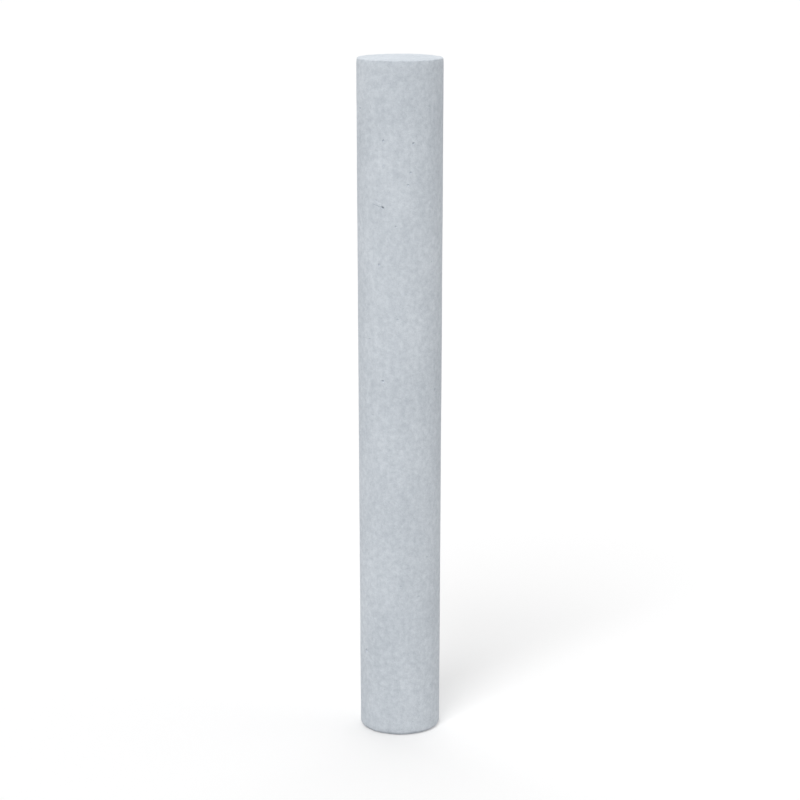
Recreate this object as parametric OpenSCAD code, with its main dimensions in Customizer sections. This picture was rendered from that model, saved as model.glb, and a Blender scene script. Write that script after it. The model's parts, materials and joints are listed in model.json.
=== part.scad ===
// Blackboard chalk: one solid stick of moulded plaster, standing on its narrow end.
// The mould gives it a slight draft, so it widens evenly from its foot to its head.
// Z = 0 is the foot, Z runs up the axis, and the front of the stick faces -Y.

/* [Stick] */
// Length from the foot to the head
stick_length = 80; // [50:1:120]
// Diameter at the head, which lies at the open mouth of the mould
head_diameter = 10; // [8:0.1:14]
// How much less the diameter is at the foot, so that the stick slips out of the mould
taper = 0.5; // [0.1:0.1:1.5]

/* [Edges] */
// Radius round the foot, where the mould's floor meets its wall
foot_edge = 0.5; // [0.2:0.05:1.5]
// Radius round the head, which is struck off level and broken only by handling
head_edge = 0.25; // [0.1:0.05:1]

/* [Air bubbles] */
// Diameter of the smallest scattered bubble
smallest_bubble = 0.2; // [0.15:0.05:0.25]
// Diameter of the largest scattered bubble
largest_bubble = 0.4; // [0.3:0.05:0.6]
// How far a bubble's centre lies under the wall, as a share of its diameter
bubble_sink = 0.1; // [0:0.05:0.3]
// Number of bubbles scattered over the sides and the back
back_bubbles = 20; // [0:1:60]
// Number of bubbles scattered down the lower front
front_bubbles = 6; // [0:1:20]
// Length of wall at each end that no scattered bubble reaches
clear_of_ends = 2.5; // [2:0.1:6]

/* [Hidden] */

chalk_white = [0.86, 0.88, 0.9];
$fn = 128;
bubble_fn = 32;

head_radius = head_diameter / 2;
foot_radius = head_radius - taper / 2;
draft_angle = atan((head_radius - foot_radius) / stick_length);

// The pinholes that stand out on the upper front:
// [angle to the right of the front, depth below the head, diameter]
pinholes = [
    [-24, 16.6, 0.4],
    [-22.5, 9, 0.3],
    [-22, 11.8, 0.2],
    [-29, 23.2, 0.3],
    [-5.5, 18.7, 0.2],
    [10.5, 14, 0.25],
    [14, 12.6, 0.25],
    [17.5, 9.3, 0.3]
];
// The patch of wall that they take up: half its angle, and its depth below the head
front_half_angle = 50;
front_depth = 25;

// Steps that spread the scattered bubbles in angle, in depth and in diameter
angle_step = 19;
depth_step = 47;
diameter_step = 37;

function wall_radius(z) = foot_radius + (head_radius - foot_radius) * z / stick_length;

// Centre of an edge's arc at height z, and the point where the arc runs into the sloping wall
function arc_centre(z, edge) = [wall_radius(z) - edge / cos(draft_angle), z];
function arc_end(z, edge) = arc_centre(z, edge) + edge * [cos(draft_angle), -sin(draft_angle)];

// The i-th value of an irregular series between two limits
function scattered(i, step, low, high) =
    let (swing = 97 * sin(i * step)) low + (high - low) * (swing - floor(swing));

// Half of the stick's section, from its axis to its wall
module half_section() {
    foot_arc = arc_centre(foot_edge, foot_edge);
    head_arc = arc_centre(stick_length - head_edge, head_edge);
    polygon([
        [0, 0],
        [foot_arc.x, 0],
        arc_end(foot_arc.y, foot_edge),
        arc_end(head_arc.y, head_edge),
        [head_arc.x, stick_length],
        [0, stick_length]
    ]);
    translate(foot_arc) circle(r = foot_edge);
    translate(head_arc) circle(r = head_edge);
}

// The hollow left by a round bubble that broke through the wall
module bubble(angle, depth, diameter) {
    height = stick_length - depth;
    rotate([0, 0, angle])
        translate([0, bubble_sink * diameter - wall_radius(height), height])
            sphere(d = diameter, $fn = bubble_fn);
}

// Bubbles scattered over a patch of the wall, more of them small than large
module bubble_patch(numbers, angles, depths) {
    for (i = numbers) {
        smallness = 1 - scattered(i, diameter_step, 0, 1) ^ 2;
        bubble(
            scattered(i, angle_step, angles[0], angles[1]),
            scattered(i, depth_step, depths[0], depths[1]),
            largest_bubble - (largest_bubble - smallest_bubble) * smallness
        );
    }
}

module chalk_stick() {
    lowest = stick_length - clear_of_ends;
    color(chalk_white) difference() {
        rotate_extrude() half_section();
        for (p = pinholes) bubble(p[0], p[1], p[2]);
        bubble_patch(
            [1 : 1 : back_bubbles],
            [front_half_angle, 360 - front_half_angle],
            [clear_of_ends, lowest]
        );
        bubble_patch(
            [back_bubbles + 1 : 1 : back_bubbles + front_bubbles],
            [-front_half_angle, front_half_angle],
            [front_depth, lowest]
        );
    }
}

chalk_stick();
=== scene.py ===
# A stick of blackboard chalk, standing on its narrow end

import json
import math
import random
import bmesh
import bpy
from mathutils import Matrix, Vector

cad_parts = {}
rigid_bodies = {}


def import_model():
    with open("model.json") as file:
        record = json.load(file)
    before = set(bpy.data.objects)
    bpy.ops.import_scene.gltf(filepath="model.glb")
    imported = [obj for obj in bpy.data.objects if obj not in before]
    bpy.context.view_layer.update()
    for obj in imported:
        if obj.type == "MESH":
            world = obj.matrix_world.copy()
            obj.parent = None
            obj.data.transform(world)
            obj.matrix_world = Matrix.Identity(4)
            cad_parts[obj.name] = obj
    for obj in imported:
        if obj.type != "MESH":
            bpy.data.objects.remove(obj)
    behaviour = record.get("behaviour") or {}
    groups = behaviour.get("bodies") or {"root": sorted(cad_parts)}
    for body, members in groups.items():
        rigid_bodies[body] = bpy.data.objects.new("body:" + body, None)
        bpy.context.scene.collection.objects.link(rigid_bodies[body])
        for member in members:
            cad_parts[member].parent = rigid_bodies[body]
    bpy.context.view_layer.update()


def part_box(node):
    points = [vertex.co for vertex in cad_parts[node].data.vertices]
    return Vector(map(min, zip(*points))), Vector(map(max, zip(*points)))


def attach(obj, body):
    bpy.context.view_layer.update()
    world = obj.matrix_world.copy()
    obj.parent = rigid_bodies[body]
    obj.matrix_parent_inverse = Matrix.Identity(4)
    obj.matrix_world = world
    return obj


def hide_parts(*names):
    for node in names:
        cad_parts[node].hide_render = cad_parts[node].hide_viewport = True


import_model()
mm = 0.001
tiny = 0.01 * mm                 # places closer than this count as one


# Helpers

def deselectAll():
    bpy.ops.object.select_all(action="DESELECT")


def makeActive(piece):
    deselectAll()
    piece.select_set(True)
    bpy.context.view_layer.objects.active = piece


def openForEditing(piece):
    makeActive(piece)
    bpy.ops.object.mode_set(mode="EDIT")


def closeEditing():
    bpy.ops.object.mode_set(mode="OBJECT")


def pick(kind, test):  # in edit mode, selects the verts, edges or faces that pass the test
    bpy.ops.mesh.select_mode(type=kind)
    bpy.ops.mesh.select_all(action="DESELECT")
    mesh = bpy.context.edit_object.data
    shape = bmesh.from_edit_mesh(mesh)
    items = {"VERT": shape.verts, "EDGE": shape.edges, "FACE": shape.faces}[kind]
    for item in items:
        if test(item):
            item.select_set(True)
    bmesh.update_edit_mesh(mesh)


def finishWith(piece, kind, **settings):  # adds a modifier and applies it at once
    makeActive(piece)
    modifier = piece.modifiers.new(kind.lower(), kind)
    for key, value in settings.items():
        setattr(modifier, key, value)
    bpy.ops.object.modifier_apply(modifier=modifier.name)


def addNode(tree, kind, sockets=None, **settings):  # a socket takes a number, a colour or a link
    node = tree.nodes.new("ShaderNode" + kind)
    for key, value in settings.items():
        setattr(node, key, value)
    for key, value in (sockets or {}).items():
        if isinstance(value, bpy.types.NodeSocket):
            tree.links.new(value, node.inputs[key])
        else:
            node.inputs[key].default_value = value
    return node


# The stick's body: a cylinder drawn in at the foot, with its rims rounded and its ends ringed

stickSize = {
    "length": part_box("chalk_stick")[1].z,
    "headRadius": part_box("chalk_stick")[1].x,
    "taper": 0.5 * mm,           # how much less the diameter is at the foot
    "footEdge": 0.5 * mm,        # radius round the foot
    "headEdge": 0.25 * mm,       # radius round the head
    "sides": 180,
    "rings": 240,                # cuts along the wall
    "rimBand": 1.5 * mm,         # wall next to each rim that is cut finer
    "rimCuts": 2,
    "lowestRise": 0.2 * mm,      # edges of the wall rise more than this, those of a rim less
    "edgeSteps": 6,
    "endRing": 0.1 * mm,         # width of an end's outermost ring
    "endRingGrowth": 1.14,       # how much wider each ring is than the one round it
    "endRings": 14,
}


def wallRadius(height):
    grown = stickSize["taper"] / 2 * (1 - height / stickSize["length"])
    return stickSize["headRadius"] - grown


def isLevel(edge, height):  # the edge lies at that height from end to end
    return all(abs(v.co.z - height) < tiny for v in edge.verts)


def isUpright(edge, low, high):  # the edge runs along the wall, between two heights
    start, end = sorted(v.co.z for v in edge.verts)
    return end - start > stickSize["lowestRise"] and start > low and end < high


def ringTheEnd(side):  # insets an end again and again, then closes it to its middle
    pick("FACE", lambda f: len(f.verts) > 4 and f.normal.z * side > 0.9)
    width = stickSize["endRing"]
    for ring in range(stickSize["endRings"]):
        bpy.ops.mesh.inset(thickness=width)
        width *= stickSize["endRingGrowth"]
    bpy.ops.mesh.poke()


def makeStick():
    length, head = stickSize["length"], stickSize["headRadius"]
    deselectAll()
    bpy.ops.mesh.primitive_cylinder_add(
        vertices=stickSize["sides"], radius=head, depth=length, location=(0, 0, length / 2))
    stick = bpy.context.object
    stick.name = "ChalkStick"
    bpy.ops.object.transform_apply(location=True, rotation=True, scale=True)
    openForEditing(stick)
    drawIn = wallRadius(0) / head
    pick("VERT", lambda v: v.co.z < length / 2)
    bpy.ops.transform.resize(value=(drawIn, drawIn, 1))
    for height, radius in ((0, stickSize["footEdge"]), (length, stickSize["headEdge"])):
        pick("EDGE", lambda e: isLevel(e, height))
        bpy.ops.mesh.bevel(
            offset=radius, offset_type="OFFSET", segments=stickSize["edgeSteps"], profile=0.5)
    pick("EDGE", lambda e: isUpright(e, 0, length))
    bpy.ops.mesh.subdivide(number_cuts=stickSize["rings"])
    band = stickSize["rimBand"]
    for low, high in ((0, band), (length - band, length)):
        pick("EDGE", lambda e: isUpright(e, low, high))
        bpy.ops.mesh.subdivide(number_cuts=stickSize["rimCuts"])
    ringTheEnd(1)
    ringTheEnd(-1)
    closeEditing()
    return stick


stick = makeStick()
print("stick body:", len(stick.data.polygons), "faces")


# Unevenness: the wall swells a little, and the rims have crumbled. All of it goes inwards.

wear = {
    "swell": {"depth": 0.05 * mm, "size": 6 * mm, "detail": 2, "contrast": 1},
    "crumble": {"depth": 0.12 * mm, "size": 0.9 * mm, "detail": 2, "contrast": 1.5},
    "crumbleReach": 0.6 * mm,    # how far from a rim the crumbling is felt
}


def onWall(place):  # 1 on the wall, 0 on the ends
    radius = math.hypot(place.x, place.y)
    return 1 if wallRadius(place.z) - radius < tiny else 0


def nearRim(place):  # 1 on a rim, 0 out of its reach
    radius = math.hypot(place.x, place.y)
    length = stickSize["length"]
    distance = min(math.hypot(wallRadius(h) - radius, place.z - h) for h in (0, length))
    return max(0, 1 - distance / wear["crumbleReach"])


def weightVertices(piece, name, weight):
    group = piece.vertex_groups.new(name=name)
    for vertex in piece.data.vertices:
        group.add([vertex.index], weight(vertex.co), "REPLACE")


def wearDown(stick, kind, group):
    clouds = bpy.data.textures.new(kind, "CLOUDS")
    clouds.noise_scale = wear[kind]["size"]
    clouds.noise_depth = wear[kind]["detail"]
    clouds.contrast = wear[kind]["contrast"]
    finishWith(stick, "DISPLACE", texture=clouds, texture_coords="LOCAL",
               strength=wear[kind]["depth"], mid_level=1, vertex_group=group)


weightVertices(stick, "wall", onWall)
weightVertices(stick, "rims", nearRim)
wearDown(stick, "swell", "wall")
wearDown(stick, "crumble", "rims")
print("wall and rims worn")


# Air bubbles that broke the skin: the larger ones stand where the solid has them

bubbles = {
    "smallest": 0.2 * mm,
    "largest": 0.4 * mm,
    "sink": 0.1,                 # how far a centre lies under the wall, in diameters
    "back": 20,                  # scattered over the sides and back
    "front": 6,                  # scattered down the lower front
    "clearOfEnds": 2.5 * mm,
    "frontHalfAngle": 50,
    "frontDepth": 25 * mm,
    "steps": (19, 47, 37),       # spread of angle, depth and diameter
    "swing": 97,                 # makes the spread irregular
    "detail": 3,                 # subdivisions of a bubble's ball
    "fine": 90,                  # pinpricks too small for the solid
    "fineDiameters": (0.1 * mm, 0.18 * mm),
    "fineDetail": 2,
    "uneven": 0.18,              # how far their width and height stray from round
    "lobeSizes": (0.5, 0.8),     # the smaller hollow in each one's side, as shares of its diameter
    "lobeShift": 0.35,
    "seed": 8,
    "sliver": 0.001 * mm,        # edges shorter than this are closed up after the cut
    "sharpFrom": 35,             # degrees between faces from which an edge stays sharp
}
pinholes = (                     # angle to the right of the front, depth below the head, diameter
    (-24, 16.6 * mm, 0.4 * mm),
    (-22.5, 9 * mm, 0.3 * mm),
    (-22, 11.8 * mm, 0.2 * mm),
    (-29, 23.2 * mm, 0.3 * mm),
    (-5.5, 18.7 * mm, 0.2 * mm),
    (10.5, 14 * mm, 0.25 * mm),
    (14, 12.6 * mm, 0.25 * mm),
    (17.5, 9.3 * mm, 0.3 * mm),
)
scratches = (                    # by the largest pinhole; tilt lowers the right end, in degrees
    {"angle": -31, "depth": 15.95 * mm, "length": 1.2 * mm, "tilt": 27,
     "width": 0.28 * mm, "groove": 0.1 * mm},
    {"angle": -33, "depth": 16.4 * mm, "length": 1.5 * mm, "tilt": 18,
     "width": 0.12 * mm, "groove": 0.14 * mm},
)
scratchBeads = {
    "number": 9,
    "overlap": 3,                # a bead's length, in spacings
    "thinnest": 0.5,             # how thick the end beads are, as a share of the middle one
    "ragged": 0.25,              # how far beads stray from the line, in widths of the scratch
    "detail": 2,
}


def scattered(number, step, low, high):
    swing = bubbles["swing"] * math.sin(math.radians(number * step))
    return low + (high - low) * (swing - math.floor(swing))


def onTheWall(angle, depth, sink=0):  # a point on the wall, or a little under it
    height = stickSize["length"] - depth
    reach = wallRadius(height) - sink
    turn = math.radians(angle)
    return reach * math.sin(turn), -reach * math.cos(turn), height


def bubble(angle, depth, diameter, dice, detail=bubbles["detail"]):
    place = onTheWall(angle, depth, bubbles["sink"] * diameter)
    low, high = 1 - bubbles["uneven"], 1 + bubbles["uneven"]
    bpy.ops.mesh.primitive_ico_sphere_add(
        subdivisions=detail, radius=diameter / 2, location=place,
        rotation=(0, dice.uniform(0, math.pi), math.radians(angle)),
        scale=(dice.uniform(low, high), 1, dice.uniform(low, high)))


def pit(angle, depth, diameter, dice):  # a bubble with a smaller one broken into its side
    bubble(angle, depth, diameter, dice)
    shift, turn = bubbles["lobeShift"] * diameter, dice.uniform(0, 2 * math.pi)
    aside = math.degrees(shift * math.cos(turn) / stickSize["headRadius"])
    bubble(angle + aside, depth + shift * math.sin(turn),
           diameter * dice.uniform(*bubbles["lobeSizes"]), dice)


def scratch(mark, dice):  # a row of uneven beads across the wall, which cuts a ragged groove
    tilt = math.radians(mark["tilt"])
    spacing = mark["length"] / scratchBeads["number"]
    ragged = scratchBeads["ragged"]
    for bead in range(scratchBeads["number"]):
        fromMiddle = (bead + 0.5) * spacing - mark["length"] / 2
        angle = mark["angle"] + math.degrees(fromMiddle * math.cos(tilt) / stickSize["headRadius"])
        astray = dice.uniform(-ragged, ragged) * mark["width"]
        depth = mark["depth"] + fromMiddle * math.sin(tilt) + astray
        thin = 1 - (1 - scratchBeads["thinnest"]) * abs(2 * fromMiddle / mark["length"])
        thin *= dice.uniform(1 - ragged, 1)
        size = (scratchBeads["overlap"] * spacing, 2 * mark["groove"] * thin, mark["width"] * thin)
        bpy.ops.mesh.primitive_ico_sphere_add(
            subdivisions=scratchBeads["detail"], radius=0.5, location=onTheWall(angle, depth),
            rotation=(0, tilt, math.radians(angle)), scale=size)


def bubblePatch(numbers, angles, depths, dice):
    angleStep, depthStep, sizeStep = bubbles["steps"]
    small, large = bubbles["smallest"], bubbles["largest"]
    for number in numbers:
        growth = scattered(number, sizeStep, 0, 1) ** 2
        pit(scattered(number, angleStep, *angles), scattered(number, depthStep, *depths),
            small + (large - small) * growth, dice)


def makeBubbles():  # one object to cut with, which starts empty and takes in each new ball
    bpy.ops.mesh.primitive_ico_sphere_add(subdivisions=1, radius=mm)
    cutter = bpy.context.object
    openForEditing(cutter)
    bpy.ops.mesh.delete(type="VERT")
    dice = random.Random(bubbles["seed"])
    for angle, depth, diameter in pinholes:
        pit(angle, depth, diameter, dice)
    for mark in scratches:
        scratch(mark, dice)
    nearEnd, farEnd = bubbles["clearOfEnds"], stickSize["length"] - bubbles["clearOfEnds"]
    side = bubbles["frontHalfAngle"]
    firstFront = bubbles["back"] + 1
    bubblePatch(range(1, firstFront), (side, 360 - side), (nearEnd, farEnd), dice)
    bubblePatch(range(firstFront, firstFront + bubbles["front"]),
                (-side, side), (bubbles["frontDepth"], farEnd), dice)
    for number in range(bubbles["fine"]):
        bubble(dice.uniform(0, 360), dice.uniform(nearEnd, farEnd),
               dice.uniform(*bubbles["fineDiameters"]), dice, bubbles["fineDetail"])
    closeEditing()
    return cutter


def alongSlant(corners):  # how far they lie along a slant on which no two places fall together
    slant = (0.7548, 0.5698, 1)      # multiplied out below, because dot() rounds too coarsely
    return sum(s * c for corner in corners for s, c in zip(slant, corner.co)) / len(corners)


def putInOrder():  # in edit mode, numbers everything by its place, so that each run gives one mesh
    mesh = bpy.context.edit_object.data
    shape = bmesh.from_edit_mesh(mesh)
    shape.verts.sort(key=lambda v: alongSlant([v]))
    shape.edges.sort(key=lambda e: alongSlant(e.verts))
    shape.faces.sort(key=lambda f: alongSlant(f.verts))
    bmesh.update_edit_mesh(mesh)


def cutBubbles(stick):
    cutter = makeBubbles()
    finishWith(stick, "BOOLEAN", object=cutter, operation="DIFFERENCE", solver="EXACT",
               use_self=True)
    bpy.data.objects.remove(cutter)
    openForEditing(stick)
    putInOrder()
    bpy.ops.mesh.select_all(action="SELECT")
    bpy.ops.mesh.remove_doubles(threshold=bubbles["sliver"])
    bpy.ops.mesh.dissolve_degenerate(threshold=bubbles["sliver"])
    closeEditing()
    bpy.ops.object.shade_smooth_by_angle(angle=math.radians(bubbles["sharpFrom"]))


cutBubbles(stick)
print("bubbles cut:", len(stick.data.polygons), "faces")


# Chalk: matte, powdery plaster with faint mottling, and painted shade with dust in its pinholes

chalk = {
    "powdered": (0.795, 0.842, 0.892, 1),
    "rubbed": (0.58, 0.628, 0.68, 1),    # where the powder is rubbed off
    "evenShade": 0.5,                    # share of powder before any layer is laid on
    "roughness": (0.88, 0.98),           # rubbed, powdered
    "diffuseRoughness": 0.25,
    "specular": 0.3,
    "shadeAndDust": (0.4, 0.425, 0.46, 1),       # painted shade with dust, at the bottom of the deepest bubbles
    "shadeAndDustDepths": (0.17 * mm, 0.22 * mm),
    "shadeAndDustFree": 1.5 * mm,                # wall at each end that the painted shade and dust leave out
    "scrapeDepth": 0.3 * mm,             # how far below the struck face its scrapes fade out
}
layers = {                       # noise laid on the chalk: features per mm, and relief in mm
    "clouds": {"perMm": (0.16, 0.16, 0.1), "detail": 2, "harshness": 0.5,
               "shade": 0.9, "relief": 0},
    "mottle": {"perMm": (1.7, 1.7, 1.7), "detail": 6, "harshness": 0.66,
               "shade": 1.9, "relief": 0.05},
    "dragMarks": {"perMm": (2.2, 2.2, 0.1), "detail": 3, "harshness": 0.6,
                  "shade": 0.25, "relief": 0.008},
    "grain": {"perMm": (8, 8, 8), "detail": 3, "harshness": 0.65,
              "shade": 0.8, "relief": 0.025},
    "scrapes": {"perMm": (0.35, 4, 0), "detail": 3, "harshness": 0.6,
                "shade": 0.5, "relief": 0.05},       # on the struck face alone
}
pinpricks = (                    # cells per mm, share of cells that hold one, radius in cells; their darkening is painted shade in pores
    {"perMm": 1.4, "share": 0.45, "radius": 0.13, "shade": -0.6, "relief": -0.03},
    {"perMm": 4.5, "share": 0.3, "radius": 0.22, "shade": -0.6, "relief": -0.02},
)


def mathNode(tree, operation, *values):
    return addNode(tree, "Math", dict(enumerate(values)), operation=operation).outputs[0]


def mixColors(tree, factor, first, second):  # a Mix node's colours are inputs 6 and 7, and output 2
    sockets = {"Factor": factor, 6: first, 7: second}
    return addNode(tree, "Mix", sockets, data_type="RGBA").outputs[2]


def layerNoise(tree, placeInMm, layer):  # swings either side of 0
    place = addNode(tree, "Mapping", {"Vector": placeInMm, "Scale": layer["perMm"]}).outputs[0]
    noise = addNode(tree, "TexNoise", {"Vector": place, "Scale": 1, "Detail": layer["detail"],
                                       "Roughness": layer["harshness"]})
    return mathNode(tree, "SUBTRACT", noise.outputs["Fac"], 0.5)


def pinprickSpots(tree, placeInMm, pricks):  # 1 in the middle of a pinprick, 0 outside it
    cells = addNode(tree, "TexVoronoi", {"Vector": placeInMm, "Scale": pricks["perMm"]}).outputs
    spot = addNode(tree, "MapRange", {"Value": cells["Distance"], "From Min": pricks["radius"],
                                      "From Max": 0}, interpolation_type="SMOOTHSTEP").outputs[0]
    dice = addNode(tree, "SeparateColor", {"Color": cells["Color"]}).outputs["Red"]
    return mathNode(tree, "MULTIPLY", spot, mathNode(tree, "LESS_THAN", dice, pricks["share"]))


def rampNode(tree, value, low, high):  # 0 up to the low value, 1 from the high value
    sockets = {"Value": value, "From Min": low, "From Max": high}
    return addNode(tree, "MapRange", sockets).outputs[0]


def onHead(tree, height):  # 1 on the struck face, 0 down the wall
    length = stickSize["length"]
    return rampNode(tree, height, length - chalk["scrapeDepth"], length)


def shadeAndDustInBubbles(tree, place, height):  # 1 deep under the wall, 0 near it and at the ends: where painted shade with dust darkens the bubbles
    flat = addNode(tree, "VectorMath", {0: place, 1: (1, 1, 0)}, operation="MULTIPLY").outputs[0]
    radius = addNode(tree, "VectorMath", {0: flat}, operation="LENGTH").outputs["Value"]
    slope = stickSize["taper"] / 2 / stickSize["length"]
    wall = mathNode(tree, "MULTIPLY_ADD", height, slope, wallRadius(0))
    depth = mathNode(tree, "SUBTRACT", wall, radius)
    shadedAndDusty = rampNode(tree, depth, *chalk["shadeAndDustDepths"])
    middle = stickSize["length"] / 2
    fromMiddle = mathNode(tree, "ABSOLUTE", mathNode(tree, "SUBTRACT", height, middle))
    offEnds = mathNode(tree, "LESS_THAN", fromMiddle, middle - chalk["shadeAndDustFree"])
    return mathNode(tree, "MULTIPLY", shadedAndDusty, offEnds)


def chalkMaterial():
    material = bpy.data.materials.new("chalk")
    material.use_nodes = True
    tree = material.node_tree
    shader = tree.nodes["Principled BSDF"]
    place = addNode(tree, "TexCoord").outputs["Object"]
    inMm = addNode(tree, "VectorMath", {0: place, "Scale": 1 / mm}, operation="SCALE").outputs[0]
    height = addNode(tree, "SeparateXYZ", {0: place}).outputs["Z"]
    patterns = {name: layerNoise(tree, inMm, layer) for name, layer in layers.items()}
    patterns["scrapes"] = mathNode(tree, "MULTIPLY", patterns["scrapes"], onHead(tree, height))
    laidOn = [(patterns[name], layer) for name, layer in layers.items()]
    # the pinpricks' darkening is painted shade in pores too small to cut
    laidOn += [(pinprickSpots(tree, inMm, pricks), pricks) for pricks in pinpricks]
    powder, relief = chalk["evenShade"], 0
    for pattern, layer in laidOn:
        powder = mathNode(tree, "MULTIPLY_ADD", pattern, layer["shade"], powder)
        relief = mathNode(tree, "MULTIPLY_ADD", pattern, layer["relief"], relief)
    color = mixColors(tree, powder, chalk["rubbed"], chalk["powdered"])
    # painted shade with dust: the colour darkens deep inside the bubbles
    color = mixColors(tree, shadeAndDustInBubbles(tree, place, height), color, chalk["shadeAndDust"])
    smooth, rough = chalk["roughness"]
    roughness = addNode(tree, "MapRange", {"Value": powder, "To Min": smooth, "To Max": rough})
    bump = addNode(tree, "Bump", {"Height": relief, "Distance": mm})
    tree.links.new(color, shader.inputs["Base Color"])
    tree.links.new(roughness.outputs[0], shader.inputs["Roughness"])
    tree.links.new(bump.outputs[0], shader.inputs["Normal"])
    shader.inputs["Specular IOR Level"].default_value = chalk["specular"]
    shader.inputs["Diffuse Roughness"].default_value = chalk["diffuseRoughness"]
    return material


stick.data.materials.clear()
stick.data.materials.append(chalkMaterial())
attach(stick, "root")
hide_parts("chalk_stick")
print("chalk material on")


# Stage: a seamless white floor, an even sky, a key light at the front left and two fill lights

studio = {
    "sky": 0.34,                 # strength of the even light
    "floorColor": 0.65,
    "floorSeen": 1.01,           # how bright the camera sees the open floor
    "floorSize": 6,
    "viewHeight": 13,            # degrees that the camera looks down
    "viewDistance": 0.2765,
    "viewRange": (0.01, 20),
    "lens": 106,
}
lamps = {                        # side is in degrees from the front, to the right if above 0
    "KeyLight": {"strength": 1.6, "side": -20, "height": 52, "softness": 25},
    "RightFill": {"strength": 0.5, "side": 103, "height": 40, "softness": 60},
    "BackFill": {"strength": 1, "side": 180, "height": 45, "softness": 60},
}


def makeFloor():
    deselectAll()
    bpy.ops.mesh.primitive_plane_add(size=studio["floorSize"])
    floor = bpy.context.object
    floor.name = "Floor"
    material = bpy.data.materials.new("floor")
    material.use_nodes = True
    tree = material.node_tree
    tree.nodes.clear()
    tone = studio["floorColor"]
    lit = studio["sky"]
    for lamp in lamps.values():
        lit += lamp["strength"] * math.sin(math.radians(lamp["height"])) / math.pi
    matte = addNode(tree, "BsdfDiffuse", {"Color": (tone, tone, tone, 1)}).outputs[0]
    lift = addNode(tree, "Emission", {"Strength": studio["floorSeen"] - tone * lit}).outputs[0]
    lifted = addNode(tree, "AddShader", {0: matte, 1: lift}).outputs[0]
    seen = addNode(tree, "LightPath").outputs["Is Camera Ray"]
    mixed = addNode(tree, "MixShader", {"Fac": seen, 1: matte, 2: lifted}).outputs[0]
    addNode(tree, "OutputMaterial", {"Surface": mixed})
    floor.data.materials.append(material)


def makeSky():
    world = bpy.data.worlds.new("sky")
    bpy.context.scene.world = world
    world.use_nodes = True
    tree = world.node_tree
    background = tree.nodes["Background"]
    background.inputs["Color"].default_value = (1, 1, 1, 1)
    seen = addNode(tree, "LightPath").outputs["Is Camera Ray"]
    strength = addNode(tree, "MapRange", {"Value": seen, "To Min": studio["sky"], "To Max": 1})
    tree.links.new(strength.outputs[0], background.inputs["Strength"])


def direction(side, height):  # from the stick towards a lamp or the camera
    side, height = math.radians(side), math.radians(height)
    level = math.cos(height)
    return Vector((math.sin(side) * level, -math.cos(side) * level, math.sin(height)))


def makeLamp(name, lamp):
    deselectAll()
    bpy.ops.object.light_add(type="SUN")
    light = bpy.context.object
    light.name = name
    light.data.energy = lamp["strength"]
    light.data.angle = math.radians(lamp["softness"])
    back = direction(lamp["side"], lamp["height"])
    light.rotation_euler = back.to_track_quat("Z", "Y").to_euler()


def makeCamera():
    deselectAll()
    bpy.ops.object.camera_add()
    camera = bpy.context.object
    back = direction(0, studio["viewHeight"])
    camera.location = Vector((0, 0, stickSize["length"] / 2)) + back * studio["viewDistance"]
    camera.rotation_euler = back.to_track_quat("Z", "Y").to_euler()
    camera.data.lens = studio["lens"]
    camera.data.clip_start, camera.data.clip_end = studio["viewRange"]
    bpy.context.scene.camera = camera


makeFloor()
makeSky()
for name, lamp in lamps.items():
    makeLamp(name, lamp)
makeCamera()
bpy.context.scene.view_settings.view_transform = "Standard"
print("stage set")
